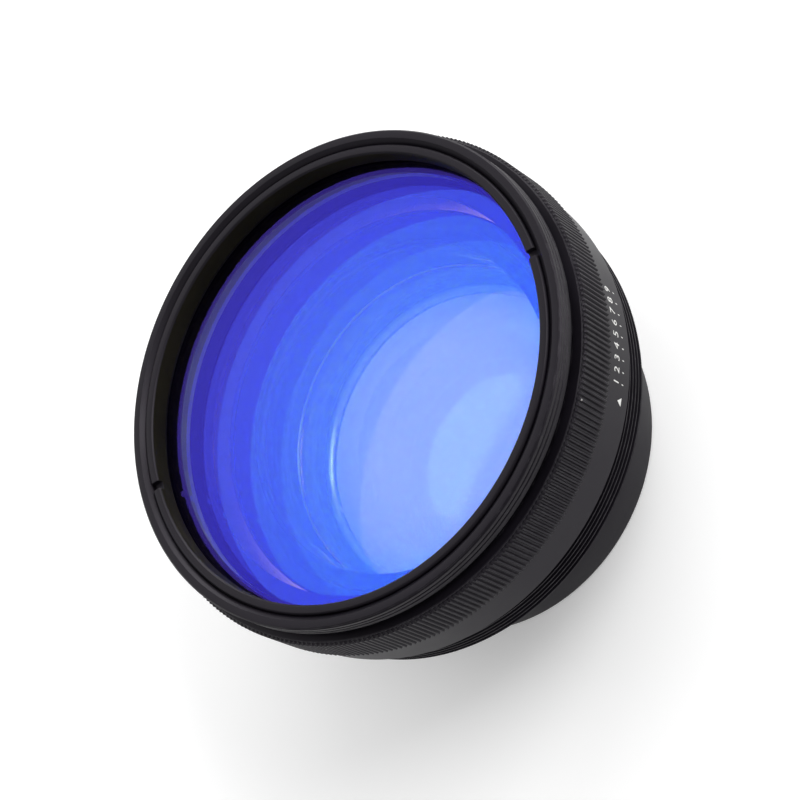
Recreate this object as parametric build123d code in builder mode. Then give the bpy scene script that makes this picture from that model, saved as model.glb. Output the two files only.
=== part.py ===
from build123d import *
from math import cos, pi, sin, sqrt
import os

# Scan lens for a laser marking head, standing on its rear rim with the window up.
# +Z is the optical axis, z = 0 is the rear rim, all sizes are in millimetres.

# Outer form. The mount thread's radius drives the others, each by a named step or wall
mount_thread_radius = 42.5
mount_thread_length = 6.1
mount_thread_chamfer = 0.5
mount_shoulder_width = 1.5
thread_relief_depth = 0.8
thread_relief_width = 1.5
shoulder_undercut = 0.2
band_length = 7.3
band_chamfer = 0.3
knurl_proud = 1.0
knurl_depth = 0.36
knurl_count = 300
knurl_ring_length = 9.3
knurl_end_collar = 0.45
flange_setback = 0.5
flange_length = 3.7
flange_edge_chamfer = 0.3
neck_groove_depth = 1.2
neck_groove_width = 1.4
hub_setback = 3.1
hub_chamfer = 0.5
rear_tube_setback = 6.4
rear_rim_chamfer = 0.5

# Clearances between pieces that fit into each other
thread_clearance = 0.1
bore_clearance = 0.1
seat_clearance = 0.02

# Window, its ring and its seal
flange_wall = 2.4
window_thickness = 2.3
window_edge_chamfer = 0.25
window_ring_recess = 0.3
window_ring_length = 3.6
window_ring_width = 1.7
window_ring_chamfer = 0.3
cell_mouth_chamfer = 0.9
window_seat_width = 1.5
window_seat_length = 0.9
window_seal_inset = 0.5
window_seal_width = 0.7
window_seal_depth = 0.6

# Spanner slots in the threaded rings
slot_width = 1.5
slot_depth = 1.2
slot_overrun = 2.0

# Front cell, the spigot that screws into the main barrel, and its seal
band_wall = 1.7
cell_seal_gap = 0.2
cell_seal_length = 1.0
cell_collar_step = 0.5
cell_collar_length = 1.5
cell_spigot_step = 0.7
cell_spigot_cover = 3.3
cell_spigot_wall = 2.5

# Front element, the largest, and the ring that it seats on
front_element_front_curve = 600.0
front_element_edge = 5.75
front_element_bevel = 0.4
front_element_gap = 0.8
front_seat_width = 0.4
front_seat_ring_thickness = 0.3

# Third element, the spacer in front of it and the ledge behind it
barrel_wall = 3.0
barrel_ledge_width = 3.8
barrel_ledge_length = 0.8
third_element_land = 3.7
third_element_front_curve = 450.0
third_element_rear_curve = 285.0
third_element_edge = 5.7
third_element_bevel = 0.4
third_element_gap = 2.65
third_shim_thickness = 0.25
spacer_rear_width = 2.0
spacer_stop_width = 3.5
spacer_stop_length = 1.2

# Rear barrel's spigot in the hub and the three screws that lock it
rear_spigot_step = 1.0
rear_spigot_length = 6.6
rear_spigot_wall = 1.5
rear_spigot_rise = 0.1
lock_screw_radius = 1.0
lock_screw_recess = 2.4
lock_screw_socket = 0.52
lock_screw_socket_depth = 1.4
lock_screw_count = 3
lock_screw_offset = 1.25
lock_screw_clearance = 0.05

# Second element, its ring and the stray light stop
second_element_land = 2.4
second_element_front_curve = 142.0
second_element_rear_curve = 137.0
second_element_edge = 6.5
second_element_bevel = 0.4
second_element_gap = 0.8
second_ring_width = 1.2
second_ring_length = 1.0
second_slot_depth = 0.6
glare_stop_width = 2.3
glare_stop_thickness = 0.4

# First element, next to the scanner, its ring and its seal
rear_tube_wall = 3.0
rear_web_width = 1.1
rear_web_length = 7.04
first_element_land = 9.4
first_element_bevel = 0.4
first_element_rear_curve = 87.0
first_element_centre = 6.3
rear_ring_width = 3.5
rear_ring_length = 1.5
rear_ring_cone_width = 1.1
rear_ring_cone_depth = 0.7
rear_ring_recess = 0.1
rear_slot_depth = 0.7
rear_seal_thickness = 0.3
rear_seal_width = 2.2


def sag(curve, height):
    return curve - sqrt(curve**2 - height**2)


def turned_section(*outline):
    with BuildSketch(Plane.XZ) as section:
        with BuildLine():
            Polyline(*outline, close=True)
        make_face()
    return section.sketch


def radial_plane(angle, height):
    outward = (cos(angle), sin(angle), 0)
    return Plane(origin=(0, 0, height), x_dir=(-sin(angle), cos(angle), 0), z_dir=outward)


def ring_section(inner, outer, low, high):
    return turned_section((inner, low), (outer, low), (outer, high), (inner, high))


def element_section(radius, polished, clear, front_curve, rear_curve, front_vertex, rear_vertex):
    bevel = radius - polished
    front_edge = front_vertex - sag(front_curve, polished)
    rear_land = rear_vertex - sag(rear_curve, clear)
    front_middle = (polished / 2, front_vertex - sag(front_curve, polished / 2))
    rear_middle = (clear / 2, rear_vertex - sag(rear_curve, clear / 2))
    with BuildSketch(Plane.XZ) as section:
        with BuildLine():
            ThreePointArc((0, front_vertex), front_middle, (polished, front_edge))
            Polyline(
                (polished, front_edge),
                (radius, front_edge - bevel),
                (radius, rear_land),
                (clear, rear_land),
            )
            ThreePointArc((clear, rear_land), rear_middle, (0, rear_vertex))
            Line((0, rear_vertex), (0, front_vertex))
        make_face()
    return section.sketch


# Radii of the outer steps
band_radius = mount_thread_radius + mount_shoulder_width
knurl_radius = band_radius + knurl_proud
flange_radius = band_radius - flange_setback
neck_groove_radius = flange_radius - neck_groove_depth
thread_relief_radius = mount_thread_radius - thread_relief_depth
hub_radius = mount_thread_radius - hub_setback
rear_tube_radius = hub_radius - rear_tube_setback
rear_spigot_radius = rear_tube_radius - rear_spigot_step

# Radii of the window, its pocket and its ring
window_pocket_radius = flange_radius - flange_wall
window_ring_radius = window_pocket_radius - thread_clearance
window_radius = window_ring_radius - bore_clearance
window_ring_bore = window_ring_radius - window_ring_width
window_seat_bore = window_pocket_radius - window_seat_width
window_seal_inner = window_seat_bore + window_seal_inset

# Radii of the front cell, the barrels and the elements that they hold
cell_seal_radius = band_radius - band_wall
cell_neck_radius = cell_seal_radius - cell_seal_gap
cell_collar_radius = cell_neck_radius + cell_collar_step
cell_spigot_radius = cell_neck_radius - cell_spigot_step
cell_bore = cell_spigot_radius - cell_spigot_wall
front_element_radius = cell_bore - bore_clearance
front_element_polished = front_element_radius - front_element_bevel
front_seat_bore = front_element_radius - front_seat_width
barrel_mouth = cell_spigot_radius + thread_clearance
barrel_bore = thread_relief_radius - barrel_wall
barrel_ledge_bore = barrel_bore - barrel_ledge_width
third_element_radius = barrel_bore - bore_clearance
third_element_clear = third_element_radius - third_element_land
third_element_polished = third_element_radius - third_element_bevel
spacer_rear_bore = third_element_radius - spacer_rear_width
spacer_stop_bore = front_element_radius - spacer_stop_width
hub_bore = rear_spigot_radius + thread_clearance
rear_bore_front = rear_spigot_radius - rear_spigot_wall
second_element_radius = rear_bore_front - bore_clearance
second_element_clear = second_element_radius - second_element_land
second_element_polished = second_element_radius - second_element_bevel
second_ring_bore = second_element_radius - second_ring_width
glare_stop_radius = rear_spigot_radius - bore_clearance
rear_bore_rear = rear_tube_radius - rear_tube_wall
rear_web_bore = rear_bore_rear - rear_web_width
first_element_radius = rear_bore_rear - bore_clearance
first_element_clear = first_element_radius - first_element_land
first_element_face = first_element_radius - first_element_bevel
rear_ring_bore = first_element_radius - rear_ring_width

# Centre thicknesses that give the elements their edges
front_element_sag = sag(front_element_front_curve, front_element_polished)
front_element_centre = front_element_edge + front_element_sag
third_element_front_sag = sag(third_element_front_curve, third_element_polished)
third_element_rear_sag = sag(third_element_rear_curve, third_element_clear)
third_element_centre = third_element_edge + third_element_front_sag - third_element_rear_sag
second_element_front_sag = sag(second_element_front_curve, second_element_polished)
second_element_rear_sag = sag(second_element_rear_curve, second_element_clear)
second_element_centre = second_element_edge + second_element_front_sag - second_element_rear_sag

# Heights of the optical stack, which sets the lens's length
rear_ring_rear = rear_ring_recess
rear_ring_front = rear_ring_rear + rear_ring_length
first_land = rear_ring_front + rear_seal_thickness
rear_vertex_1 = first_land + sag(first_element_rear_curve, first_element_clear)
web_rear = rear_vertex_1 + first_element_centre
web_front = web_rear + rear_web_length
rear_vertex_2 = web_front + second_element_rear_sag
front_vertex_2 = rear_vertex_2 + second_element_centre
rear_vertex_3 = front_vertex_2 + second_element_gap
third_land = rear_vertex_3 - third_element_rear_sag
front_vertex_3 = rear_vertex_3 + third_element_centre
rear_vertex_4 = front_vertex_3 + third_element_gap
front_vertex_4 = rear_vertex_4 + front_element_centre
window_rear = front_vertex_4 + front_element_gap
window_ring_rear = window_rear + window_thickness
window_ring_front = window_ring_rear + window_ring_length
front_face = window_ring_front + window_ring_recess

# Heights of the outer steps, from the front face down
flange_rear = front_face - flange_length
knurl_front = flange_rear - neck_groove_width
knurl_rear = knurl_front - knurl_ring_length
band_rear = knurl_rear - band_length
thread_front = band_rear - thread_relief_width
thread_rear = thread_front - mount_thread_length

# Heights of the ledge behind the third element, of the hub under it and of the rear barrel's spigot
ledge_top = third_land - third_shim_thickness
hub_step = ledge_top - barrel_ledge_length
hub_rear = hub_step - bore_clearance - rear_spigot_length
second_ring_rear = front_vertex_2 - sag(second_element_front_curve, second_ring_bore) + seat_clearance
second_ring_front = second_ring_rear + second_ring_length
spigot_top = second_ring_front + rear_spigot_rise
lock_screw_height = hub_rear + lock_screw_offset
lock_screw_length = hub_radius - rear_spigot_radius - lock_screw_recess
lock_screw_pitch = 2 * pi / lock_screw_count

# Front cell: flange with the cap thread, neck, and the spigot inside the main barrel
seat_face = window_rear - window_seat_length
front_edge_4 = front_vertex_4 - front_element_sag
element_seat = front_edge_4 - (front_seat_bore - front_element_polished)
cell_ledge = element_seat + front_seat_ring_thickness
spigot_end = rear_vertex_4 - cell_spigot_cover
with BuildPart() as front_cell:
    revolve(
        turned_section(
            (window_pocket_radius + cell_mouth_chamfer, front_face),
            (flange_radius - flange_edge_chamfer, front_face),
            (flange_radius, front_face - flange_edge_chamfer),
            (flange_radius, flange_rear + flange_edge_chamfer),
            (flange_radius - flange_edge_chamfer, flange_rear),
            (neck_groove_radius, flange_rear),
            (neck_groove_radius, knurl_front),
            (cell_collar_radius, knurl_front),
            (cell_collar_radius, knurl_front - cell_collar_length),
            (cell_neck_radius, knurl_front - cell_collar_length),
            (cell_neck_radius, knurl_rear),
            (cell_spigot_radius, knurl_rear),
            (cell_spigot_radius, spigot_end),
            (cell_bore, spigot_end),
            (cell_bore, cell_ledge),
            (front_seat_bore, cell_ledge),
            (front_seat_bore, seat_face),
            (window_seat_bore, seat_face),
            (window_seat_bore, window_rear),
            (window_pocket_radius, window_rear),
            (window_pocket_radius, front_face - cell_mouth_chamfer),
        ),
        axis=Axis.Z,
    )
    revolve(
        ring_section(
            window_seal_inner,
            window_seal_inner + window_seal_width,
            window_rear - window_seal_depth,
            window_rear,
        ),
        axis=Axis.Z,
        mode=Mode.SUBTRACT,
    )
front_cell.part.label = "front_cell"

with BuildPart() as window_seal:
    revolve(
        ring_section(
            window_seal_inner,
            window_seal_inner + window_seal_width,
            window_rear - window_seal_depth,
            window_rear,
        ),
        axis=Axis.Z,
    )
window_seal.part.label = "window_seal"

with BuildPart() as protective_window:
    with BuildSketch(Plane.XY.offset(window_rear)):
        Circle(window_radius)
    extrude(amount=window_thickness)
    chamfer(protective_window.edges().filter_by(GeomType.CIRCLE), length=window_edge_chamfer)
protective_window.part.label = "protective_window"

# Threaded ring that holds the window, with two slots for a pin spanner
with BuildPart() as window_retaining_ring:
    revolve(
        turned_section(
            (window_ring_bore, window_ring_rear),
            (window_ring_radius, window_ring_rear),
            (window_ring_radius, window_ring_front - window_ring_chamfer),
            (window_ring_radius - window_ring_chamfer, window_ring_front),
            (window_ring_bore + window_ring_chamfer, window_ring_front),
            (window_ring_bore, window_ring_front - window_ring_chamfer),
        ),
        axis=Axis.Z,
    )
    with BuildSketch(Plane.XY.offset(window_ring_front)):
        Rectangle(2 * window_ring_radius + slot_overrun, slot_width)
    extrude(amount=-slot_depth, mode=Mode.SUBTRACT)
window_retaining_ring.part.label = "window_retaining_ring"

# Knurled grip ring, clamped between the cell's collar and the main barrel
knurl_pitch = 2 * pi / knurl_count
knurl_root = knurl_radius - knurl_depth
knurl_points = []
for tooth in range(knurl_count):
    crest = tooth * knurl_pitch
    valley = crest + knurl_pitch / 2
    knurl_points.append((knurl_radius * cos(crest), knurl_radius * sin(crest)))
    knurl_points.append((knurl_root * cos(valley), knurl_root * sin(valley)))
knurl_collar_radius = knurl_root - knurl_depth / 2
knurl_bore = cell_neck_radius + bore_clearance
with BuildPart() as knurled_ring:
    with BuildSketch(Plane.XY.offset(knurl_rear + knurl_end_collar)):
        Polygon(*knurl_points, align=None)
        Circle(knurl_bore, mode=Mode.SUBTRACT)
    extrude(amount=knurl_ring_length - 2 * knurl_end_collar)
    with BuildSketch(Plane.XY.offset(knurl_rear)):
        Circle(knurl_collar_radius)
        Circle(knurl_bore, mode=Mode.SUBTRACT)
    extrude(amount=knurl_ring_length)
    with BuildSketch(Plane.XY.offset(knurl_front)):
        Circle(cell_collar_radius + bore_clearance)
    extrude(amount=-cell_collar_length, mode=Mode.SUBTRACT)
knurled_ring.part.label = "knurled_ring"

# Main barrel: marked band, mount thread and the hub that takes the rear barrel
with BuildPart() as main_barrel:
    revolve(
        turned_section(
            (cell_seal_radius, knurl_rear),
            (band_radius - band_chamfer, knurl_rear),
            (band_radius, knurl_rear - band_chamfer),
            (band_radius, band_rear + band_chamfer),
            (band_radius - band_chamfer, band_rear),
            (mount_thread_radius + shoulder_undercut, band_rear),
            (mount_thread_radius + shoulder_undercut, band_rear + shoulder_undercut),
            (thread_relief_radius, band_rear + shoulder_undercut),
            (thread_relief_radius, thread_front),
            (mount_thread_radius, thread_front),
            (mount_thread_radius, thread_rear + mount_thread_chamfer),
            (mount_thread_radius - mount_thread_chamfer, thread_rear),
            (hub_radius, thread_rear),
            (hub_radius, hub_rear + hub_chamfer),
            (hub_radius - hub_chamfer, hub_rear),
            (hub_bore, hub_rear),
            (hub_bore, hub_step),
            (barrel_ledge_bore, hub_step),
            (barrel_ledge_bore, ledge_top),
            (barrel_bore, ledge_top),
            (barrel_bore, spigot_end - bore_clearance),
            (barrel_mouth, spigot_end - bore_clearance),
            (barrel_mouth, knurl_rear - cell_seal_length),
            (cell_seal_radius, knurl_rear - cell_seal_length),
        ),
        axis=Axis.Z,
    )
    for turn in range(lock_screw_count):
        with BuildSketch(radial_plane(turn * lock_screw_pitch, lock_screw_height)):
            Circle(lock_screw_radius + lock_screw_clearance)
        extrude(amount=mount_thread_radius, mode=Mode.SUBTRACT)
main_barrel.part.label = "main_barrel"

# Seal between the front cell's shoulder and the mouth of the main barrel
with BuildPart() as cell_seal:
    revolve(
        ring_section(
            cell_spigot_radius + bore_clearance,
            cell_neck_radius,
            knurl_rear - cell_seal_length,
            knurl_rear,
        ),
        axis=Axis.Z,
    )
cell_seal.part.label = "cell_seal"

# Soft ring that the front element seats on
with BuildPart() as front_seat_ring:
    revolve(
        ring_section(front_seat_bore, front_element_radius, element_seat + seat_clearance, cell_ledge),
        axis=Axis.Z,
    )
front_seat_ring.part.label = "front_seat_ring"

# The four elements are numbered from the scanner side. The front one has a flat rear
front_middle_4 = front_vertex_4 - sag(front_element_front_curve, front_element_polished / 2)
with BuildPart() as element_4:
    with BuildSketch(Plane.XZ):
        with BuildLine():
            ThreePointArc(
                (0, front_vertex_4),
                (front_element_polished / 2, front_middle_4),
                (front_element_polished, front_edge_4),
            )
            Polyline(
                (front_element_polished, front_edge_4),
                (front_element_radius, front_edge_4 - front_element_bevel),
                (front_element_radius, rear_vertex_4),
                (0, rear_vertex_4),
                (0, front_vertex_4),
            )
        make_face()
    revolve(axis=Axis.Z)
element_4.part.label = "element_4"

with BuildPart() as element_3:
    revolve(
        element_section(
            third_element_radius,
            third_element_polished,
            third_element_clear,
            third_element_front_curve,
            third_element_rear_curve,
            front_vertex_3,
            rear_vertex_3,
        ),
        axis=Axis.Z,
    )
element_3.part.label = "element_3"

with BuildPart() as element_2:
    revolve(
        element_section(
            second_element_radius,
            second_element_polished,
            second_element_clear,
            second_element_front_curve,
            second_element_rear_curve,
            front_vertex_2,
            rear_vertex_2,
        ),
        axis=Axis.Z,
    )
element_2.part.label = "element_2"

# The element next to the scanner has a flat front and a deep concave rear
first_middle_height = rear_vertex_1 - sag(first_element_rear_curve, first_element_clear / 2)
with BuildPart() as element_1:
    with BuildSketch(Plane.XZ):
        with BuildLine():
            Polyline(
                (0, rear_vertex_1),
                (0, web_rear),
                (first_element_radius, web_rear),
                (first_element_radius, first_land + first_element_bevel),
                (first_element_face, first_land),
                (first_element_clear, first_land),
            )
            ThreePointArc(
                (first_element_clear, first_land),
                (first_element_clear / 2, first_middle_height),
                (0, rear_vertex_1),
            )
        make_face()
    revolve(axis=Axis.Z)
element_1.part.label = "element_1"

# Stepped spacer between the two largest elements, with a sharp stop at its front
spacer_rear = front_vertex_3 - sag(third_element_front_curve, spacer_rear_bore) + seat_clearance
with BuildPart() as front_spacer:
    revolve(
        turned_section(
            (spacer_stop_bore, rear_vertex_4),
            (front_element_radius, rear_vertex_4),
            (front_element_radius, spigot_end),
            (third_element_radius, spigot_end),
            (third_element_radius, spacer_rear),
            (spacer_rear_bore, spacer_rear),
            (spacer_rear_bore, rear_vertex_4 - spacer_stop_length),
        ),
        axis=Axis.Z,
    )
front_spacer.part.label = "front_spacer"

with BuildPart() as element_3_shim:
    revolve(
        ring_section(
            third_element_clear,
            third_element_radius,
            ledge_top,
            third_land,
        ),
        axis=Axis.Z,
    )
element_3_shim.part.label = "element_3_shim"

with BuildPart() as glare_stop:
    revolve(
        ring_section(
            glare_stop_radius - glare_stop_width,
            glare_stop_radius,
            spigot_top,
            spigot_top + glare_stop_thickness,
        ),
        axis=Axis.Z,
    )
glare_stop.part.label = "glare_stop"

# Rear barrel: spigot in the hub, bores for the two smaller elements and the web between them
with BuildPart() as rear_barrel:
    revolve(
        turned_section(
            (rear_bore_front, spigot_top),
            (rear_spigot_radius, spigot_top),
            (rear_spigot_radius, hub_rear),
            (rear_tube_radius, hub_rear),
            (rear_tube_radius, rear_rim_chamfer),
            (rear_tube_radius - rear_rim_chamfer, 0),
            (rear_bore_rear + rear_rim_chamfer, 0),
            (rear_bore_rear, rear_rim_chamfer),
            (rear_bore_rear, web_rear),
            (rear_web_bore, web_rear),
            (rear_web_bore, web_front),
            (rear_bore_front, web_front),
        ),
        axis=Axis.Z,
    )
rear_barrel.part.label = "rear_barrel"

# Threaded rings with spanner slots, over the second element and under the first
with BuildPart() as element_2_ring:
    revolve(
        ring_section(
            second_ring_bore,
            second_element_radius,
            second_ring_rear,
            second_ring_front,
        ),
        axis=Axis.Z,
    )
    with BuildSketch(Plane.XY.offset(second_ring_front)):
        Rectangle(2 * second_element_radius + slot_overrun, slot_width)
    extrude(amount=-second_slot_depth, mode=Mode.SUBTRACT)
element_2_ring.part.label = "element_2_ring"

# The first element's ring has a shallow cone towards the glass
with BuildPart() as rear_retaining_ring:
    revolve(
        turned_section(
            (rear_ring_bore, rear_ring_rear),
            (first_element_radius, rear_ring_rear),
            (first_element_radius, rear_ring_front),
            (rear_ring_bore + rear_ring_cone_width, rear_ring_front),
            (rear_ring_bore, rear_ring_front - rear_ring_cone_depth),
        ),
        axis=Axis.Z,
    )
    with BuildSketch(Plane.XY.offset(rear_ring_rear)):
        Rectangle(2 * first_element_radius + slot_overrun, slot_width)
    extrude(amount=rear_slot_depth, mode=Mode.SUBTRACT)
rear_retaining_ring.part.label = "rear_retaining_ring"

with BuildPart() as rear_seal:
    revolve(
        ring_section(
            first_element_radius - rear_seal_width,
            first_element_radius,
            rear_ring_front,
            first_land,
        ),
        axis=Axis.Z,
    )
rear_seal.part.label = "rear_seal"

# Grub screws with hexagon sockets, through the hub onto the rear barrel's spigot
with BuildPart() as barrel_lock_screws:
    for turn in range(lock_screw_count):
        screw_tip = radial_plane(turn * lock_screw_pitch, lock_screw_height).offset(rear_spigot_radius)
        with BuildSketch(screw_tip):
            Circle(lock_screw_radius)
        extrude(amount=lock_screw_length)
        with BuildSketch(screw_tip.offset(lock_screw_length)):
            RegularPolygon(lock_screw_socket, 6)
        extrude(amount=-lock_screw_socket_depth, mode=Mode.SUBTRACT)
barrel_lock_screws.part.label = "barrel_lock_screws"

pieces = (
    front_cell,
    window_retaining_ring,
    protective_window,
    window_seal,
    knurled_ring,
    main_barrel,
    cell_seal,
    front_seat_ring,
    element_4,
    front_spacer,
    element_3,
    element_3_shim,
    glare_stop,
    element_2_ring,
    element_2,
    rear_barrel,
    element_1,
    rear_seal,
    rear_retaining_ring,
    barrel_lock_screws,
)
os.makedirs("parts", exist_ok=True)
for piece in pieces:
    export_step(piece.part, f"parts/{piece.part.label}.step")
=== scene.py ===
import math
import bmesh
import bpy
from mathutils import Matrix, Vector


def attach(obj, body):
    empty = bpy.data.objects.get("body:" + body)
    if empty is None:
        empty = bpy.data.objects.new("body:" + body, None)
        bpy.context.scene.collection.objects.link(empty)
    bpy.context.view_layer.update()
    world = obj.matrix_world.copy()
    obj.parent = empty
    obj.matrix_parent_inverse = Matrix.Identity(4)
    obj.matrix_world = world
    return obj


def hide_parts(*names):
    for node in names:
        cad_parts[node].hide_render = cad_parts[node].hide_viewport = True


# Scan lens, dressed over the CAD frame. Sizes in the dictionaries are millimetres
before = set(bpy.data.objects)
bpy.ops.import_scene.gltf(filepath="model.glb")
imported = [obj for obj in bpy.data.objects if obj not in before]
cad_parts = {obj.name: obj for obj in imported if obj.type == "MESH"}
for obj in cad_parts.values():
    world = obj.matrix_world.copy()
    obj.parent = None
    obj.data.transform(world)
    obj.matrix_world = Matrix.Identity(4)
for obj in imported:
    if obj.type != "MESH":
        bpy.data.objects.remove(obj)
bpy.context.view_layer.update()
mm = 0.001
turnSteps = 256
weld = 0.002 * mm
effectSet = {
    "cloudScale": 60.0, "cloudDetail": 4.0, "wearPatches": 420.0, "wearGain": 6.0,
    "dustColour": (0.42, 0.41, 0.4, 1),
    "bumpHeight": 0.02 * mm, "glassIndex": 1.476, "smoothAngle": 35, "curveSteps": 20,
}
print("frame loaded")


def startFresh():
    if bpy.context.object and bpy.context.object.mode != "OBJECT":
        bpy.ops.object.mode_set(mode="OBJECT")
    bpy.ops.object.select_all(action="DESELECT")


def pickOnly(piece):
    startFresh()
    piece.select_set(True)
    bpy.context.view_layer.objects.active = piece


def pickFaces(piece, wanted):
    # selects the faces that pass the test, in edit mode
    cage = bmesh.from_edit_mesh(piece.data)
    for face in cage.faces:
        face.select_set(bool(wanted(face)))
    cage.select_flush_mode()
    bmesh.update_edit_mesh(piece.data)


def turned(name, outline, closed=True, steps=turnSteps):
    # a profile of (radius, height) drawn point by point and spun round the optical axis
    startFresh()
    bpy.ops.mesh.primitive_plane_add(size=mm)
    piece = bpy.context.object
    piece.name = name
    bpy.ops.object.mode_set(mode="EDIT")
    bpy.ops.mesh.select_mode(type="VERT")
    bpy.ops.mesh.merge(type="CENTER")
    bpy.ops.transform.translate(value=(outline[0][0] * mm, 0, outline[0][1] * mm))
    path = outline[1:] + ([outline[0]] if closed else [])
    here = outline[0]
    for there in path:
        step = ((there[0] - here[0]) * mm, 0, (there[1] - here[1]) * mm)
        bpy.ops.mesh.extrude_vertices_move(TRANSFORM_OT_translate={"value": step})
        here = there
    bpy.ops.mesh.select_all(action="SELECT")
    bpy.ops.mesh.spin(steps=steps, angle=2 * math.pi, center=(0, 0, 0), axis=(0, 0, 1))
    bpy.ops.mesh.select_all(action="SELECT")
    bpy.ops.mesh.remove_doubles(threshold=weld)
    bpy.ops.mesh.normals_make_consistent(inside=False)
    bpy.ops.object.mode_set(mode="OBJECT")
    return piece


def cutAway(piece, cutter):
    pickOnly(piece)
    bpy.ops.object.modifier_add(type="BOOLEAN")
    cut = piece.modifiers[-1]
    cut.operation = "DIFFERENCE"
    cut.solver = "EXACT"
    cut.object = cutter
    bpy.ops.object.modifier_apply(modifier=cut.name)
    pickOnly(cutter)
    bpy.ops.object.delete()


def breakEdges(piece, width, segments=2, sharper=30):
    # the small chamfer that every turned edge has
    pickOnly(piece)
    bpy.ops.object.modifier_add(type="BEVEL")
    edge = piece.modifiers[-1]
    edge.width = width * mm
    edge.segments = segments
    edge.limit_method = "ANGLE"
    edge.angle_limit = math.radians(sharper)
    edge.use_clamp_overlap = True
    bpy.ops.object.modifier_apply(modifier=edge.name)
    bpy.ops.object.shade_smooth_by_angle(angle=math.radians(effectSet["smoothAngle"]))


def arc(curve, vertex, inner, outer, count, down=1):
    # points of a polished face, from the inner radius to the outer one
    points = []
    for k in range(count + 1):
        r = inner + (outer - inner) * k / count
        drop = curve - math.sqrt(curve ** 2 - r ** 2) if curve else 0
        points.append((r, vertex - down * drop))
    return points


# Camera at the photograph's angle
cameraSet = {
    "lens": 110.3,
    "place": (0.16493, -0.20759, 0.36059),
    "aim": (0.00079, 0.00062, 0.03137),
    "roll": -62.82,
}
lensCamera = bpy.data.cameras.new("camera")
lensCamera.lens = cameraSet["lens"]
camera = bpy.data.objects.new("camera", lensCamera)
bpy.context.scene.collection.objects.link(camera)
sight = (Vector(cameraSet["aim"]) - Vector(cameraSet["place"])).to_track_quat("-Z", "Y").to_matrix()
sight = sight @ Matrix.Rotation(math.radians(cameraSet["roll"]), 3, "Z")
camera.matrix_world = Matrix.Translation(cameraSet["place"]) @ sight.to_4x4()
bpy.context.scene.camera = camera
print("camera placed")


# Effects that several finishes share
def newGroup(name, numbers, colours, outputs):
    group = bpy.data.node_groups.new(name, "ShaderNodeTree")
    for label, value in numbers.items():
        socket = group.interface.new_socket(label, in_out="INPUT", socket_type="NodeSocketFloat")
        socket.default_value = value
    for label, value in colours.items():
        socket = group.interface.new_socket(label, in_out="INPUT", socket_type="NodeSocketColor")
        socket.default_value = value
    for label, kind in outputs.items():
        group.interface.new_socket(label, in_out="OUTPUT", socket_type=kind)
    entry = group.nodes.new("NodeGroupInput")
    leave = group.nodes.new("NodeGroupOutput")
    return group, entry, leave


def mathNode(tree, operation, first, second=None, clamp=False):
    node = tree.nodes.new("ShaderNodeMath")
    node.operation = operation
    node.use_clamp = clamp
    for k, value in enumerate((first, second)):
        if value is None:
            continue
        if isinstance(value, (int, float)):
            node.inputs[k].default_value = value
        else:
            tree.links.new(value, node.inputs[k])
    return node.outputs[0]


def rampNode(tree, factor, stops):
    node = tree.nodes.new("ShaderNodeValToRGB")
    while len(node.color_ramp.elements) < len(stops):
        node.color_ramp.elements.new(0.5)
    for element, (place, level) in zip(node.color_ramp.elements, stops):
        element.position = place
        element.color = (level, level, level, 1)
    tree.links.new(factor, node.inputs["Fac"])
    return node.outputs["Color"]


def fromAxis(tree, place):
    # the place split up, and its distance to the optical axis
    split = tree.nodes.new("ShaderNodeSeparateXYZ")
    tree.links.new(place, split.inputs[0])
    squares = [mathNode(tree, "POWER", split.outputs[side], 2.0) for side in "XY"]
    return split, mathNode(tree, "POWER", mathNode(tree, "ADD", *squares), 0.5)


# fine rings that a lathe leaves, read from the distance to the axis and the height
latheMarks, entry, leave = newGroup(
    "lathe marks", {"Pitch": 6000.0, "Grain": 9000.0}, {},
    {"Rings": "NodeSocketFloat", "Grain": "NodeSocketFloat", "Clouds": "NodeSocketFloat"},
)
place = latheMarks.nodes.new("ShaderNodeTexCoord").outputs["Object"]
split, radius = fromAxis(latheMarks, place)
polar = latheMarks.nodes.new("ShaderNodeCombineXYZ")
latheMarks.links.new(mathNode(latheMarks, "MULTIPLY", radius, entry.outputs["Pitch"]), polar.inputs["X"])
along = mathNode(latheMarks, "MULTIPLY", split.outputs["Z"], entry.outputs["Pitch"])
latheMarks.links.new(along, polar.inputs["Z"])
rings = latheMarks.nodes.new("ShaderNodeTexNoise")
rings.inputs["Scale"].default_value = 1.0
rings.inputs["Detail"].default_value = 2.0
latheMarks.links.new(polar.outputs[0], rings.inputs["Vector"])
latheMarks.links.new(rings.outputs["Fac"], leave.inputs["Rings"])
grain = latheMarks.nodes.new("ShaderNodeTexNoise")
grain.inputs["Detail"].default_value = 2.0
latheMarks.links.new(place, grain.inputs["Vector"])
latheMarks.links.new(entry.outputs["Grain"], grain.inputs["Scale"])
latheMarks.links.new(grain.outputs["Fac"], leave.inputs["Grain"])
clouds = latheMarks.nodes.new("ShaderNodeTexNoise")
clouds.inputs["Scale"].default_value = effectSet["cloudScale"]
clouds.inputs["Detail"].default_value = effectSet["cloudDetail"]
latheMarks.links.new(place, clouds.inputs["Vector"])
latheMarks.links.new(clouds.outputs["Fac"], leave.inputs["Clouds"])

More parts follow.
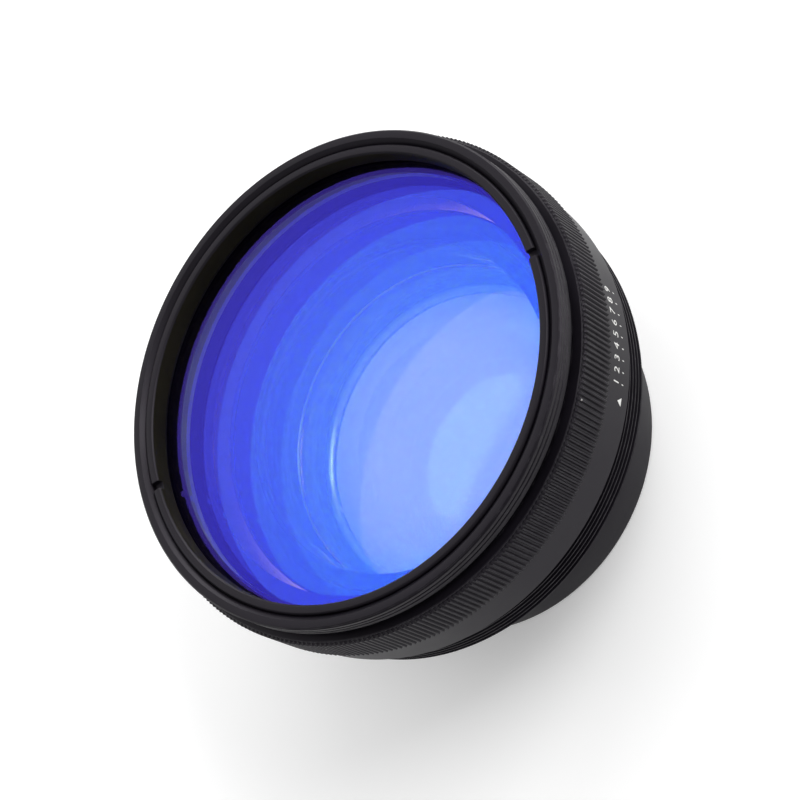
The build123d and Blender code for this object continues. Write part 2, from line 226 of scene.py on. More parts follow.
# rare pale dust, a mask from the cells of a Voronoi pattern
dustSpecks, entry, leave = newGroup(
    "dust specks", {"Scale": 260.0, "Size": 0.07, "Share": 0.03}, {}, {"Mask": "NodeSocketFloat"}
)
place = dustSpecks.nodes.new("ShaderNodeTexCoord").outputs["Object"]
cells = dustSpecks.nodes.new("ShaderNodeTexVoronoi")
dustSpecks.links.new(place, cells.inputs["Vector"])
dustSpecks.links.new(entry.outputs["Scale"], cells.inputs["Scale"])
near = mathNode(dustSpecks, "LESS_THAN", cells.outputs["Distance"], entry.outputs["Size"])
parts = dustSpecks.nodes.new("ShaderNodeSeparateColor")
dustSpecks.links.new(cells.outputs["Color"], parts.inputs[0])
rare = mathNode(dustSpecks, "LESS_THAN", parts.outputs["Red"], entry.outputs["Share"])
dustSpecks.links.new(mathNode(dustSpecks, "MULTIPLY", near, rare), leave.inputs["Mask"])

# painted shade: a glass tint that darkens towards the rim, by the distance to the axis, standing in for the
# shadowed floor seen near the rim
rimPaintedShade, entry, leave = newGroup(
    "rim painted shade", {"Inner": 0.01, "Outer": 0.02}, {}, {"Mask": "NodeSocketFloat"}
)
split, radius = fromAxis(rimPaintedShade, rimPaintedShade.nodes.new("ShaderNodeTexCoord").outputs["Object"])
shade = rimPaintedShade.nodes.new("ShaderNodeMapRange")
shade.interpolation_type = "SMOOTHSTEP"
rimPaintedShade.links.new(radius, shade.inputs["Value"])
rimPaintedShade.links.new(entry.outputs["Inner"], shade.inputs["From Min"])
rimPaintedShade.links.new(entry.outputs["Outer"], shade.inputs["From Max"])
rimPaintedShade.links.new(shade.outputs["Result"], leave.inputs["Mask"])

# edges where handling has rubbed the finish, broken up by noise
edgeWear, entry, leave = newGroup(
    "edge wear", {"Width": 0.00025, "Amount": 0.5}, {}, {"Mask": "NodeSocketFloat"}
)
rounded = edgeWear.nodes.new("ShaderNodeBevel")
rounded.samples = 4
edgeWear.links.new(entry.outputs["Width"], rounded.inputs["Radius"])
shape = edgeWear.nodes.new("ShaderNodeNewGeometry")
turnedAway = edgeWear.nodes.new("ShaderNodeVectorMath")
turnedAway.operation = "DOT_PRODUCT"
edgeWear.links.new(rounded.outputs["Normal"], turnedAway.inputs[0])
edgeWear.links.new(shape.outputs["Normal"], turnedAway.inputs[1])
sharpness = mathNode(edgeWear, "SUBTRACT", 1.0, turnedAway.outputs["Value"], clamp=True)
patches = edgeWear.nodes.new("ShaderNodeTexNoise")
patches.inputs["Scale"].default_value = effectSet["wearPatches"]
patches.inputs["Detail"].default_value = 3.0
edgeWear.links.new(edgeWear.nodes.new("ShaderNodeTexCoord").outputs["Object"], patches.inputs["Vector"])
broken = rampNode(edgeWear, patches.outputs["Fac"], [(0.45, 0.0), (0.62, 1.0)])
edges = mathNode(edgeWear, "MULTIPLY", sharpness, effectSet["wearGain"], clamp=True)
worn = mathNode(edgeWear, "MULTIPLY", edges, broken)
worn = mathNode(edgeWear, "MULTIPLY", worn, entry.outputs["Amount"], clamp=True)
edgeWear.links.new(worn, leave.inputs["Mask"])
print("shared effects made")


def newFinish(name):
    finish = bpy.data.materials.new(name)
    finish.use_nodes = True
    return finish, finish.node_tree, finish.node_tree.nodes["Principled BSDF"]


def useGroup(tree, group, **values):
    node = tree.nodes.new("ShaderNodeGroup")
    node.node_tree = group
    for label, value in values.items():
        node.inputs[label].default_value = value
    return node


def mixColours(tree, factor, first, second):
    node = tree.nodes.new("ShaderNodeMix")
    node.data_type = "RGBA"
    for socket, value in ((node.inputs[0], factor), (node.inputs[6], first), (node.inputs[7], second)):
        if isinstance(value, (int, float, tuple)):
            socket.default_value = value
        else:
            tree.links.new(value, socket)
    return node.outputs[2]


def spread(tree, value, low, high):
    # a noise of 0.3 to 0.7 spread from one level to another
    node = tree.nodes.new("ShaderNodeMapRange")
    node.inputs["From Min"].default_value = 0.3
    node.inputs["From Max"].default_value = 0.7
    node.inputs["To Min"].default_value = low
    node.inputs["To Max"].default_value = high
    tree.links.new(value, node.inputs["Value"])
    return node.outputs["Result"]


def anodised(name, look):
    # satin black metal: lathe rings, grain, a little cloudiness, worn edges and dust
    finish, tree, shader = newFinish(name)
    marks = useGroup(tree, latheMarks, Pitch=look["ringPitch"], Grain=look["grainScale"])
    specks = useGroup(
        tree, dustSpecks, Scale=look["dustScale"], Size=look["dustSize"], Share=look["dustShare"]
    )
    wear = useGroup(tree, edgeWear, Width=look["wearWidth"] * mm, Amount=look["wearAmount"])
    dark, light = look["dark"], look["light"]
    base = mixColours(tree, spread(tree, marks.outputs["Clouds"], 0.0, 1.0), (*dark, 1), (*light, 1))
    base = mixColours(tree, wear.outputs["Mask"], base, (*look["worn"], 1))
    base = mixColours(tree, specks.outputs["Mask"], base, effectSet["dustColour"])
    tree.links.new(base, shader.inputs["Base Color"])
    rough = spread(tree, marks.outputs["Clouds"], look["rough"] - 0.05, look["rough"] + 0.05)
    rough = mathNode(tree, "ADD", rough, mathNode(tree, "MULTIPLY", specks.outputs["Mask"], 0.4), clamp=True)
    tree.links.new(rough, shader.inputs["Roughness"])
    height = mathNode(
        tree, "ADD",
        mathNode(tree, "MULTIPLY", marks.outputs["Rings"], look["ringDepth"]),
        mathNode(tree, "MULTIPLY", marks.outputs["Grain"], look["grainDepth"]),
    )
    height = mathNode(tree, "ADD", height, mathNode(tree, "MULTIPLY", specks.outputs["Mask"], 1.5))
    bump = tree.nodes.new("ShaderNodeBump")
    bump.inputs["Strength"].default_value = look["bump"]
    bump.inputs["Distance"].default_value = effectSet["bumpHeight"]
    tree.links.new(height, bump.inputs["Height"])
    tree.links.new(bump.outputs["Normal"], shader.inputs["Normal"])
    shader.inputs["Specular IOR Level"].default_value = look["gloss"]
    shader.inputs["Specular Tint"].default_value = (*look["sheen"], 1)
    return finish


satinLook = {
    "dark": (0.0034, 0.0028, 0.0046), "light": (0.0064, 0.0052, 0.0084), "worn": (0.16, 0.155, 0.17),
    "rough": 0.42, "gloss": 0.21, "sheen": (1.0, 0.93, 1.05),
    "ringPitch": 9000.0, "ringDepth": 0.5, "grainScale": 5200.0, "grainDepth": 0.6,
    "bump": 0.35, "dustScale": 240.0, "dustSize": 0.05, "dustShare": 0.02,
    "wearWidth": 0.12, "wearAmount": 0.35,
}
satinBlack = anodised("satin black anodised", satinLook)
knurlBlack = anodised("knurled black anodised", {
    **satinLook, "rough": 0.46, "ringDepth": 0.1, "wearWidth": 0.08, "wearAmount": 0.45,
})
innerBlack = anodised("matte black inner walls", {
    **satinLook, "rough": 0.6, "gloss": 0.05, "wearAmount": 0.1, "dustShare": 0.006,
})
# painted reflection: the warm brownish tint of the window ring's inner walls stands in for a brown object
# mirrored there
paintedReflectionBlack = anodised("matte ring wall with painted warm reflection", {
    **satinLook, "dark": (0.011, 0.01, 0.0055), "light": (0.016, 0.0145, 0.009), "rough": 0.6, "gloss": 0.05,
    "wearAmount": 0.1, "dustShare": 0.01,
})


def coated(name, look):
    # polished fused silica, its coating is the colour that the surface mirrors
    finish, tree, shader = newFinish(name)
    # painted shade: a body colour below white dims the floor seen through the glass, and a rim entry darkens
    # it further towards the rim
    if "rim" in look:
        paintedShade = useGroup(tree, rimPaintedShade, Inner=look["rim"][1] * mm, Outer=look["rim"][2] * mm)
        body = mixColours(tree, paintedShade.outputs["Mask"], (*look["body"], 1), (*look["rim"][0], 1))
        tree.links.new(body, shader.inputs["Base Color"])
    else:
        shader.inputs["Base Color"].default_value = (*look["body"], 1)
    shader.inputs["IOR"].default_value = effectSet["glassIndex"]
    shader.inputs["Transmission Weight"].default_value = 1.0
    shader.inputs["Specular Tint"].default_value = (*look["coat"], 1)
    marks = useGroup(tree, latheMarks, Pitch=400.0, Grain=700.0)
    specks = useGroup(tree, dustSpecks, Scale=150.0, Size=0.03, Share=look["dust"])
    haze = rampNode(tree, marks.outputs["Clouds"], [(0.5, 0.0), (0.8, look["haze"])])
    rough = mathNode(tree, "ADD", haze, mathNode(tree, "MULTIPLY", specks.outputs["Mask"], 0.5), clamp=True)
    tree.links.new(rough, shader.inputs["Roughness"])
    return finish


coats = {
    "windowFront": {"body": (1, 1, 1), "coat": (0.3, 0.1, 3.0), "haze": 0.012, "dust": 0.02},
    "windowRear": {"body": (1, 1, 1), "coat": (0.0, 0.05, 5.3), "haze": 0.0, "dust": 0.0},
    "frontFour": {"body": (1, 1, 1), "coat": (0.0, 0.15, 6.5), "haze": 0.0, "dust": 0.0},
    "rearFour": {"body": (1, 1, 1), "coat": (0.1, 0.6, 10.0), "haze": 0.0, "dust": 0.0},
    "frontThree": {"body": (1, 1, 1), "coat": (0.0, 0.9, 10.0), "haze": 0.0, "dust": 0.0},
    "rearThree": {"body": (1, 1, 1), "coat": (0.0, 0.7, 8.5), "haze": 0.0, "dust": 0.0},
    "frontTwo": {"body": (1, 1, 1), "coat": (0.1, 0.7, 6.0), "haze": 0.0, "dust": 0.0},
    "rearTwo": {"body": (1, 1, 1), "coat": (0.2, 0.7, 6.0), "haze": 0.0, "dust": 0.0},
    # element 1's front carries painted shade: its body tint and its darker rim stand in for the shadowed
    # floor under the lens
    "frontOne": {
        "body": (0.42, 0.68, 1), "rim": ((0.01, 0.1, 0.9), 13.0, 27.5), "coat": (1.1, 1.2, 5.0),
        "haze": 0.0, "dust": 0.0,
    },
    "rearOne": {"body": (1, 1, 1), "coat": (2.4, 3.6, 5.6), "haze": 0.0, "dust": 0.0},
}
glassFinish = {key: coated(key + " coat", look) for key, look in coats.items()}

# ground glass of the elements' bevels and edges, pale and fine grained
groundGlass, tree, shader = newFinish("ground glass edge")
marks = useGroup(tree, latheMarks, Pitch=8000.0, Grain=6000.0)
ground = {"dark": (0.2, 0.28, 0.62, 1), "light": (0.34, 0.44, 0.8, 1)}
tone = mixColours(tree, spread(tree, marks.outputs["Grain"], 0.0, 1.0), ground["dark"], ground["light"])
tree.links.new(tone, shader.inputs["Base Color"])
tree.links.new(spread(tree, marks.outputs["Clouds"], 0.5, 0.7), shader.inputs["Roughness"])


def plainFinish(name, look):
    finish, tree, shader = newFinish(name)
    marks = useGroup(tree, latheMarks, Pitch=look["ringPitch"], Grain=look["grainScale"])
    clouds = spread(tree, marks.outputs["Clouds"], 0.0, 1.0)
    base = mixColours(tree, clouds, (*look["dark"], 1), (*look["light"], 1))
    tree.links.new(base, shader.inputs["Base Color"])
    rough = spread(tree, marks.outputs["Grain"], look["rough"] - 0.08, look["rough"] + 0.08)
    tree.links.new(rough, shader.inputs["Roughness"])
    shader.inputs["Metallic"].default_value = look["metal"]
    bump = tree.nodes.new("ShaderNodeBump")
    bump.inputs["Strength"].default_value = 0.3
    bump.inputs["Distance"].default_value = effectSet["bumpHeight"]
    tree.links.new(marks.outputs["Rings"], bump.inputs["Height"])
    tree.links.new(bump.outputs["Normal"], shader.inputs["Normal"])
    return finish


plainLooks = {
    "black seal rubber": ((0.012, 0.012, 0.012), (0.022, 0.022, 0.022), 0.7, 0.0, 3000.0, 5000.0),
    "black seat polymer": ((0.02, 0.02, 0.021), (0.035, 0.035, 0.036), 0.5, 0.0, 5000.0, 4000.0),
    "rolled brass shim": ((0.52, 0.37, 0.15), (0.66, 0.5, 0.24), 0.32, 1.0, 7000.0, 6000.0),
    "black oxide steel": ((0.03, 0.03, 0.032), (0.06, 0.06, 0.065), 0.38, 1.0, 9000.0, 7000.0),
    "bare turned edge": ((0.62, 0.65, 0.7), (0.8, 0.83, 0.88), 0.3, 1.0, 9000.0, 6000.0),
    "blackened glass edge": ((0.004, 0.004, 0.004), (0.01, 0.01, 0.01), 0.6, 0.0, 6000.0, 5000.0),
    "white marking paint": ((0.72, 0.72, 0.7), (0.85, 0.85, 0.83), 0.55, 0.0, 4000.0, 6000.0),
}
rubber, polymer, brass, screwSteel, bareEdge, inkedEdge, paint = (
    plainFinish(name, dict(zip(("dark", "light", "rough", "metal", "ringPitch", "grainScale"), look)))
    for name, look in plainLooks.items()
)
print("finishes made")


def dress(piece, finishes, slot, *nodes):
    piece.data.materials.clear()
    for finish in finishes:
        piece.data.materials.append(finish)
    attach(piece, "root")
    if nodes:
        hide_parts(*nodes)
    return piece


def giveSlot(piece, index, wanted):
    # assigns one of the piece's finishes to the faces that pass the test
    pickOnly(piece)
    bpy.ops.object.mode_set(mode="EDIT")
    bpy.ops.mesh.select_mode(type="FACE")
    pickFaces(piece, wanted)
    piece.active_material_index = index
    bpy.ops.object.material_slot_assign()
    bpy.ops.object.mode_set(mode="OBJECT")


def faceRadius(face):
    middle = face.calc_center_median()
    return math.hypot(middle.x, middle.y) / mm


def faceHeight(face):
    return face.calc_center_median().z / mm


def facesAxis(face):
    middle = face.calc_center_median()
    return middle.x * face.normal.x + middle.y * face.normal.y < -0.2 * math.hypot(middle.x, middle.y)


def threadCutter(name, thread):
    # a closed V section swept along the helix by a Screw modifier
    startFresh()
    bpy.ops.mesh.primitive_plane_add(size=mm)
    cutter = bpy.context.object
    cutter.name = name
    bpy.ops.object.mode_set(mode="EDIT")
    bpy.ops.mesh.select_mode(type="VERT")
    bpy.ops.mesh.merge(type="CENTER")
    section = [
        (thread["root"], thread["low"] - thread["floor"] / 2),
        (thread["crest"] + 0.08, thread["low"] - thread["mouth"] / 2),
        (thread["crest"] + 0.08, thread["low"] + thread["mouth"] / 2),
        (thread["root"], thread["low"] + thread["floor"] / 2),
    ]
    bpy.ops.transform.translate(value=(section[0][0] * mm, 0, section[0][1] * mm))
    for here, there in zip(section, section[1:] + section[:1]):
        step = ((there[0] - here[0]) * mm, 0, (there[1] - here[1]) * mm)
        bpy.ops.mesh.extrude_vertices_move(TRANSFORM_OT_translate={"value": step})
    bpy.ops.mesh.select_all(action="SELECT")
    bpy.ops.mesh.remove_doubles(threshold=weld)
    bpy.ops.object.mode_set(mode="OBJECT")
    bpy.ops.object.modifier_add(type="SCREW")
    helix = cutter.modifiers[-1]
    helix.angle = 2 * math.pi
    helix.screw_offset = thread["pitch"] * mm
    helix.iterations = thread["turns"]
    helix.steps = turnSteps
    helix.render_steps = turnSteps
    bpy.ops.object.modifier_apply(modifier=helix.name)
    bpy.ops.object.mode_set(mode="EDIT")
    bpy.ops.mesh.select_all(action="SELECT")
    bpy.ops.mesh.fill_holes(sides=8)
    bpy.ops.mesh.select_all(action="SELECT")
    bpy.ops.mesh.normals_make_consistent(inside=False)
    bpy.ops.object.mode_set(mode="OBJECT")
    return cutter


def slotCutter(name, shape):
    # one bar across the ring, it cuts both spanner slots
    startFresh()
    bpy.ops.mesh.primitive_cube_add(size=mm, location=(0, 0, shape["height"] * mm))
    cutter = bpy.context.object
    cutter.name = name
    bpy.ops.object.mode_set(mode="EDIT")
    bpy.ops.mesh.select_all(action="SELECT")
    bpy.ops.transform.resize(value=(shape["length"], shape["width"], shape["deep"] * 2))
    bpy.ops.object.mode_set(mode="OBJECT")
    return cutter


# Front cell with the cap thread round its flange
cellShape = {
    "outline": [
        (42.0, 50.0043), (43.2, 50.0043), (43.5, 49.7043), (43.5, 46.6043), (43.2, 46.3043), (42.3, 46.3043),
        (42.3, 44.9043), (42.6, 44.9043), (42.6, 43.4043), (42.1, 43.4043), (42.1, 35.6043), (41.4, 35.6043),
        (41.4, 32.7243), (38.9, 32.7243), (38.9, 42.0743), (38.4, 42.0743), (38.4, 42.9043), (39.6, 42.9043),
        (39.6, 43.8043), (41.1, 43.8043), (41.1, 49.1043),
    ],
    "edge": 0.09,
    "thread": {
        "root": 43.2, "crest": 43.5, "floor": 0.12, "mouth": 0.5, "low": 46.9, "pitch": 1.0, "turns": 3,
    },
}
frontCell = turned("front_cell_dressed", cellShape["outline"])
cutAway(frontCell, threadCutter("cap_thread_cutter", cellShape["thread"]))
breakEdges(frontCell, cellShape["edge"])
dress(frontCell, [satinBlack, innerBlack], "black_anodised", "front_cell")
giveSlot(frontCell, 1, lambda face: faceRadius(face) < 41.0 and faceHeight(face) < 43.9)
print("front cell turned")

# Threaded ring over the window, with two spanner slots
ringShape = {
    "outline": [
        (39.3, 46.1043), (41.0, 46.1043), (41.0, 49.4043), (40.7, 49.7043), (39.6, 49.7043), (39.3, 49.4043),
    ],
    "slots": {"height": 49.7043, "length": 84.0, "width": 1.5, "deep": 1.2},
    "edge": 0.07,
}
windowRing = turned("window_retaining_ring_dressed", ringShape["outline"])
cutAway(windowRing, slotCutter("ring_slot_cutter", ringShape["slots"]))
breakEdges(windowRing, ringShape["edge"])
dress(windowRing, [satinBlack, paintedReflectionBlack], "black_anodised", "window_retaining_ring")
# the ring's inner walls take the painted warm reflection
giveSlot(windowRing, 1, lambda face: facesAxis(face) and abs(face.normal.z) < 0.5)

# Knurled grip ring, every tooth real
knurlShape = {
    "teeth": 300, "crest": 45.0, "root": 44.64, "collar": 44.46, "bore": 42.2, "counterbore": 42.7,
    "low": 35.6043, "high": 44.9043, "counterboreFloor": 43.4043,
    "collarHeight": 0.45, "slope": 0.3, "edge": 0.12,
}


def growRing(piece, was, crest, root, height):
    # extrudes the open rim to a new height, then sets crests and roots to their own radii
    bpy.ops.mesh.extrude_edges_move(TRANSFORM_OT_translate={"value": (0, 0, (height - was["height"]) * mm)})
    for name, target, quarters in (("crest", crest, (0, 1)), ("root", root, (2, 3))):
        cage = bmesh.from_edit_mesh(piece.data)
        rim = [point for point in cage.verts if point.select]
        for point in rim:
            quarter = round(math.atan2(point.co.y, point.co.x) / (2 * math.pi) * 4 * knurlShape["teeth"]) % 4
            point.select_set(quarter in quarters)
        bmesh.update_edit_mesh(piece.data)
        bpy.ops.transform.resize(value=(target / was[name], target / was[name], 1), center_override=(0, 0, 0))
        cage = bmesh.from_edit_mesh(piece.data)
        for point in rim:
            point.select_set(True)
        cage.select_flush_mode()
        bmesh.update_edit_mesh(piece.data)
    was.update(crest=crest, root=root, height=height)


startFresh()
bpy.ops.mesh.primitive_circle_add(
    vertices=4 * knurlShape["teeth"], radius=(knurlShape["collar"] - knurlShape["edge"]) * mm,
    location=(0, 0, knurlShape["low"] * mm),
)
knurledRing = bpy.context.object
knurledRing.name = "knurled_ring_dressed"
bpy.ops.object.transform_apply(location=True, rotation=True, scale=True)
bpy.ops.object.mode_set(mode="EDIT")
bpy.ops.mesh.select_mode(type="VERT")
bpy.ops.mesh.select_all(action="SELECT")
k = knurlShape
rim = {"crest": k["collar"] - k["edge"], "root": k["collar"] - k["edge"], "height": k["low"]}
for crest, root, height in (
    (k["collar"], k["collar"], k["low"] + k["edge"]),
    (k["collar"], k["collar"], k["low"] + k["collarHeight"]),
    (k["collar"] + 0.12, k["collar"] + 0.04, k["low"] + k["collarHeight"]),
    (k["crest"], k["root"], k["low"] + k["collarHeight"] + k["slope"]),
    (k["crest"], k["root"], k["high"] - k["collarHeight"] - k["slope"]),
    (k["collar"] + 0.12, k["collar"] + 0.04, k["high"] - k["collarHeight"]),
    (k["collar"], k["collar"], k["high"] - k["collarHeight"]),
    (k["collar"], k["collar"], k["high"] - k["edge"]),
    (k["collar"] - k["edge"], k["collar"] - k["edge"], k["high"]),
    (k["counterbore"], k["counterbore"], k["high"]),
    (k["counterbore"], k["counterbore"], k["counterboreFloor"]),
    (k["bore"], k["bore"], k["counterboreFloor"]),
    (k["bore"], k["bore"], k["low"]),
    (k["collar"] - k["edge"], k["collar"] - k["edge"], k["low"]),
):
    growRing(knurledRing, rim, crest, root, height)
bpy.ops.mesh.select_all(action="SELECT")
bpy.ops.mesh.remove_doubles(threshold=weld)
bpy.ops.mesh.normals_make_consistent(inside=False)
bpy.ops.object.mode_set(mode="OBJECT")
bpy.ops.object.shade_smooth_by_angle(angle=math.radians(20))
dress(knurledRing, [knurlBlack], "knurled_black", "knurled_ring")
print("grip ring knurled")

# Main barrel: marked band, mount thread and hub with three screw holes
barrelShape = {
    "outline": [
        (42.3, 35.6043), (43.7, 35.6043), (44.0, 35.3043), (44.0, 28.6043), (43.7, 28.3043), (42.7, 28.3043),
        (42.7, 28.5043), (41.7, 28.5043), (41.7, 26.8043), (42.5, 26.8043), (42.5, 21.2043), (42.0, 20.7043),
        (39.4, 20.7043), (39.4, 18.8), (38.9, 18.3), (32.1, 18.3), (32.1, 25.0), (34.9, 25.0),
        (34.9, 25.8), (38.7, 25.8), (38.7, 32.6243), (41.5, 32.6243), (41.5, 34.6043), (42.3, 34.6043),
    ],
    "edge": 0.07,
    "thread": {
        "root": 41.88, "crest": 42.5, "floor": 0.14, "mouth": 0.9, "low": 20.2, "pitch": 1.0, "turns": 7,
    },
    "hole": {"radius": 1.05, "height": 19.55, "reach": 12.0, "middle": 37.0, "count": 3},
}
mainBarrel = turned("main_barrel_dressed", barrelShape["outline"])
cutAway(mainBarrel, threadCutter("mount_thread_cutter", barrelShape["thread"]))
hole = barrelShape["hole"]
for turn in range(hole["count"]):
    angle = turn * 2 * math.pi / hole["count"]
    startFresh()
    bpy.ops.mesh.primitive_cylinder_add(
        vertices=48, radius=hole["radius"] * mm, depth=hole["reach"] * mm,
        location=(
            hole["middle"] * mm * math.cos(angle), hole["middle"] * mm * math.sin(angle), hole["height"] * mm,
        ),
        rotation=(0, math.pi / 2, angle),
    )
    cutAway(mainBarrel, bpy.context.object)
breakEdges(mainBarrel, barrelShape["edge"])
dress(mainBarrel, [satinBlack, innerBlack, bareEdge], "black_anodised", "main_barrel")
giveSlot(mainBarrel, 1, lambda face: facesAxis(face) or faceRadius(face) < 38.8 and faceHeight(face) > 24)
giveSlot(mainBarrel, 2, lambda face: faceRadius(face) < 35.0 and 25.05 < faceHeight(face) < 25.9)
print("main barrel turned")

# Plain white numbers and ticks printed on the band, with an index mark
markShape = {
    "numbers": "123456789", "first": -25.2, "step": 2.7, "height": 32.0, "size": 2.3, "radius": 44.0,
    "proud": 0.015, "tick": (0.16, 0.5), "tickHeight": 30.7, "index": (-29.0, 31.0, 0.8),
}


def placeOnBand(mark, azimuth, height):
    # turns a flat mark that lies in the XY plane upright, facing outwards on the band
    angle = math.radians(azimuth)
    outward = Vector((math.cos(angle), math.sin(angle), 0))
    along = Vector((-math.sin(angle), math.cos(angle), 0))
    upright = Matrix((along, Vector((0, 0, 1)), outward)).transposed()
    spot = outward * markShape["radius"] * mm + Vector((0, 0, height * mm))
    mark.matrix_world = Matrix.Translation(spot) @ upright.to_4x4()
    pickOnly(mark)
    bpy.ops.object.transform_apply(location=True, rotation=True, scale=True)
    return mark


bandMarks = []
for turn, number in enumerate(markShape["numbers"]):
    startFresh()
    bpy.ops.object.text_add()
    figure = bpy.context.object
    figure.data.body = number
    figure.data.size = markShape["size"] * mm
    figure.data.extrude = markShape["proud"] * mm
    figure.data.align_x = "CENTER"
    figure.data.resolution_u = 3
    bpy.ops.object.convert(target="MESH")
    azimuth = markShape["first"] + turn * markShape["step"]
    bandMarks.append(placeOnBand(bpy.context.object, azimuth, markShape["height"]))
    startFresh()
    bpy.ops.mesh.primitive_cube_add(size=mm)
    tick = bpy.context.object
    bpy.ops.object.mode_set(mode="EDIT")
    bpy.ops.mesh.select_all(action="SELECT")
    bpy.ops.transform.resize(value=(markShape["tick"][0], markShape["tick"][1], 2 * markShape["proud"]))
    bpy.ops.object.mode_set(mode="OBJECT")
    bandMarks.append(placeOnBand(tick, azimuth, markShape["tickHeight"]))
startFresh()
indexTurn, indexHeight, indexSize = markShape["index"]
bpy.ops.mesh.primitive_cylinder_add(vertices=3, radius=indexSize * mm, depth=2 * markShape["proud"] * mm)
bandMarks.append(placeOnBand(bpy.context.object, indexTurn, indexHeight))
startFresh()
for mark in bandMarks:
    mark.select_set(True)
bpy.context.view_layer.objects.active = bandMarks[0]
bpy.ops.object.join()
marking = bpy.context.object
marking.name = "band_marking"
bpy.ops.object.mode_set(mode="EDIT")
bpy.ops.mesh.select_all(action="SELECT")
bpy.ops.mesh.remove_doubles(threshold=0.0005 * mm)
bpy.ops.mesh.normals_make_consistent(inside=False)
bpy.ops.object.mode_set(mode="OBJECT")
dress(marking, [paint], "black_anodised")
print("band marked")

# Rear barrel towards the scanner
rearShape = {
    "outline": [
        (30.5, 25.4802), (32.0, 25.4802), (32.0, 18.3), (33.0, 18.3), (33.0, 0.5), (32.5, 0.0), (30.5, 0.0),
        (30.0, 0.5), (30.0, 10.6497), (28.9, 10.6497), (28.9, 11.3), (28.9, 17.6897), (30.5, 17.6897),
    ],
    "edge": 0.07,
}
rearBarrel = turned("rear_barrel_dressed", rearShape["outline"])
breakEdges(rearBarrel, rearShape["edge"])
dress(rearBarrel, [satinBlack, innerBlack, bareEdge], "black_anodised", "rear_barrel")
giveSlot(rearBarrel, 1, lambda face: facesAxis(face) and faceHeight(face) > 2)
giveSlot(rearBarrel, 2, lambda face: facesAxis(face) and 10.7 < faceHeight(face) < 11.3)

# Retaining ring under the first element
rearRingShape = {
    "outline": [
        (26.4, 0.1), (29.9, 0.1), (29.9, 1.6), (27.5, 1.6), (26.95, 1.32), (26.55, 1.05), (26.4, 0.8),
    ],
    "slots": {"height": 0.1, "length": 62.0, "width": 1.5, "deep": 0.7},
    "edge": 0.06,
}
rearRing = turned("rear_retaining_ring_dressed", rearRingShape["outline"])
cutAway(rearRing, slotCutter("rear_slot_cutter", rearRingShape["slots"]))
breakEdges(rearRing, rearRingShape["edge"])
dress(rearRing, [satinBlack, bareEdge], "black_anodised", "rear_retaining_ring")
giveSlot(rearRing, 1, lambda face: facesAxis(face) and faceHeight(face) > 0.75)

# Stepped spacer between the two largest elements
spacerShape = {
    "outline": [
        (35.3, 36.0243), (38.8, 36.0243), (38.8, 32.7243), (38.6, 32.7243), (38.6, 31.9034), (36.6, 31.9034),
        (36.6, 34.8243),
    ],
    "edge": 0.08,
}
spacer = turned("front_spacer_dressed", spacerShape["outline"])
breakEdges(spacer, spacerShape["edge"])
dress(spacer, [innerBlack], "black_anodised", "front_spacer")
print("rings and spacer turned")

# Window and elements, fine enough that no facet shows in their mirrored rings
windowShape = {"radius": 40.9, "front": 46.1043, "rear": 43.8043, "chamfer": 0.25}
w = windowShape
window = turned(
    "protective_window_dressed",
    [
        (0, w["front"]), (20, w["front"]), (w["radius"] - w["chamfer"], w["front"]),
        (w["radius"], w["front"] - w["chamfer"]), (w["radius"], w["rear"] + w["chamfer"]),
        (w["radius"] - w["chamfer"], w["rear"]), (20, w["rear"]), (0, w["rear"]),
    ],
    closed=False,
)
windowCoats = [glassFinish["windowFront"], glassFinish["windowRear"], inkedEdge]
dress(window, windowCoats, "window_glass", "protective_window")
giveSlot(window, 1, lambda face: face.normal.z < -0.9)
giveSlot(window, 2, lambda face: abs(face.normal.z) < 0.9)

elementShape = {
    "element_4": {
        "radius": 38.8, "polished": 38.4, "clear": 38.4, "rearFace": 38.8,
        "frontCurve": 600.0, "rearCurve": 0.0,
        "front": 43.0043, "rear": 36.0243, "coats": ("frontFour", "rearFour"),
    },
    "element_3": {
        "radius": 38.6, "polished": 38.2, "clear": 34.9, "rearFace": 38.6,
        "frontCurve": 450.0, "rearCurve": 285.0,
        "front": 33.3743, "rear": 28.1949, "coats": ("frontThree", "rearThree"),
    },
    "element_2": {
        "radius": 30.4, "polished": 30.0, "clear": 28.0, "rearFace": 30.4,
        "frontCurve": 142.0, "rearCurve": 137.0,
        "front": 27.3949, "rear": 20.5816, "coats": ("frontTwo", "rearTwo"),
    },
    "element_1": {
        "radius": 29.9, "polished": 29.9, "clear": 20.5, "rearFace": 29.5,
        "frontCurve": 0.0, "rearCurve": 87.0,
        "front": 10.6497, "rear": 4.3497, "coats": ("frontOne", "rearOne"),
    },
}
for name, e in elementShape.items():
    front = arc(e["frontCurve"], e["front"], 0, e["polished"], effectSet["curveSteps"])
    rear = arc(e["rearCurve"], e["rear"], 0, e["clear"], effectSet["curveSteps"])
    rim = [(e["radius"], front[-1][1] - (e["radius"] - e["polished"]))] if e["radius"] > e["polished"] else []
    rim.append((e["radius"], rear[-1][1] + e["radius"] - e["rearFace"]))
    if e["radius"] > e["rearFace"]:
        rim.append((e["rearFace"], rear[-1][1]))
    element = turned(name + "_dressed", front + rim + rear[::-1], closed=False)
    pickOnly(element)
    bpy.ops.object.shade_smooth_by_angle(angle=math.radians(3))
    frontCoat, rearCoat = (glassFinish[coat] for coat in e["coats"])
    dress(element, [frontCoat, rearCoat, groundGlass, inkedEdge], "coated_glass", name)
    giveSlot(element, 1, lambda face: face.normal.z < -0.3)
    giveSlot(element, 2, lambda face: 0.6 < abs(face.normal.z) < 0.8)
    giveSlot(element, 2 if name == "element_4" else 3, lambda face: abs(face.normal.z) < 0.3)
print("window and elements polished")

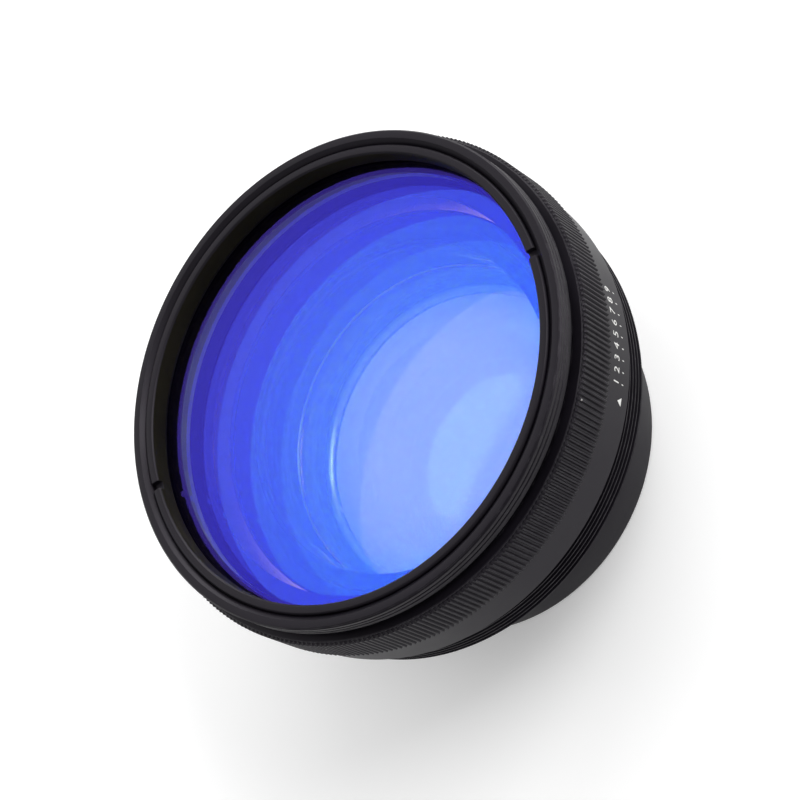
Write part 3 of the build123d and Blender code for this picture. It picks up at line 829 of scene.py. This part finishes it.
# What the frame already shapes well keeps its mesh and gets its finish
for name, finish in {
    "window_seal": rubber, "cell_seal": rubber, "rear_seal": rubber, "front_seat_ring": polymer,
    "element_3_shim": brass, "glare_stop": innerBlack, "element_2_ring": innerBlack,
    "barrel_lock_screws": screwSteel,
}.items():
    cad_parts[name].data.materials.clear()
    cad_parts[name].data.materials.append(finish)
print("frame parts finished")

# Plain floor, white world and three softboxes
stageSet = {
    "floor": 6.0, "floorColour": (0.88, 0.88, 0.88), "floorPale": (0.91, 0.91, 0.91),
    "floorGlow": 0.22, "world": 0.55,
    "lamps": {
        "side softbox": {"size": 1.5, "reach": 1.5, "towards": (-0.455, 0.573, 0.68), "watts": 6.3},
        "back softbox": {"size": 1.0, "reach": 1.4, "towards": (0.38, 0.85, 0.42), "watts": 12.0},
        "right softbox": {"size": 0.6, "reach": 1.2, "towards": (0.66, 0.12, 0.68), "watts": 6.5},
    },
}
startFresh()
bpy.ops.mesh.primitive_plane_add(size=stageSet["floor"], location=(0, 0, 0))
floor = bpy.context.object
floor.name = "floor"
paper, tree, shader = newFinish("pale paper floor")
marks = useGroup(tree, latheMarks, Pitch=50.0, Grain=900.0)
tone = mixColours(tree, marks.outputs["Grain"], (*stageSet["floorColour"], 1), (*stageSet["floorPale"], 1))
tree.links.new(tone, shader.inputs["Base Color"])
shader.inputs["Roughness"].default_value = 0.9
shader.inputs["Emission Color"].default_value = (1, 1, 1, 1)
path = tree.nodes.new("ShaderNodeLightPath")
seen = mathNode(tree, "ADD", path.outputs["Is Camera Ray"], path.outputs["Is Glossy Ray"], clamp=True)
seen = mathNode(tree, "ADD", seen, path.outputs["Is Transmission Ray"], clamp=True)
tree.links.new(mathNode(tree, "MULTIPLY", seen, stageSet["floorGlow"]), shader.inputs["Emission Strength"])
floor.data.materials.append(paper)

sky = bpy.data.worlds.new("studio")
bpy.context.scene.world = sky
sky.use_nodes = True
sky.node_tree.nodes["Background"].inputs["Color"].default_value = (1, 1, 1, 1)
sky.node_tree.nodes["Background"].inputs["Strength"].default_value = stageSet["world"]

for name, lamp in stageSet["lamps"].items():
    towards = Vector(lamp["towards"]).normalized()
    startFresh()
    bpy.ops.object.light_add(type="AREA", location=towards * lamp["reach"])
    light = bpy.context.object
    light.name = name
    light.data.size = lamp["size"]
    light.data.energy = lamp["watts"]
    light.rotation_euler = towards.to_track_quat("Z", "Y").to_euler()

scene = bpy.context.scene
scene.view_settings.view_transform = "Standard"
scene.cycles.max_bounces = 32
scene.cycles.transmission_bounces = 32
scene.cycles.glossy_bounces = 8
print("stage lit")
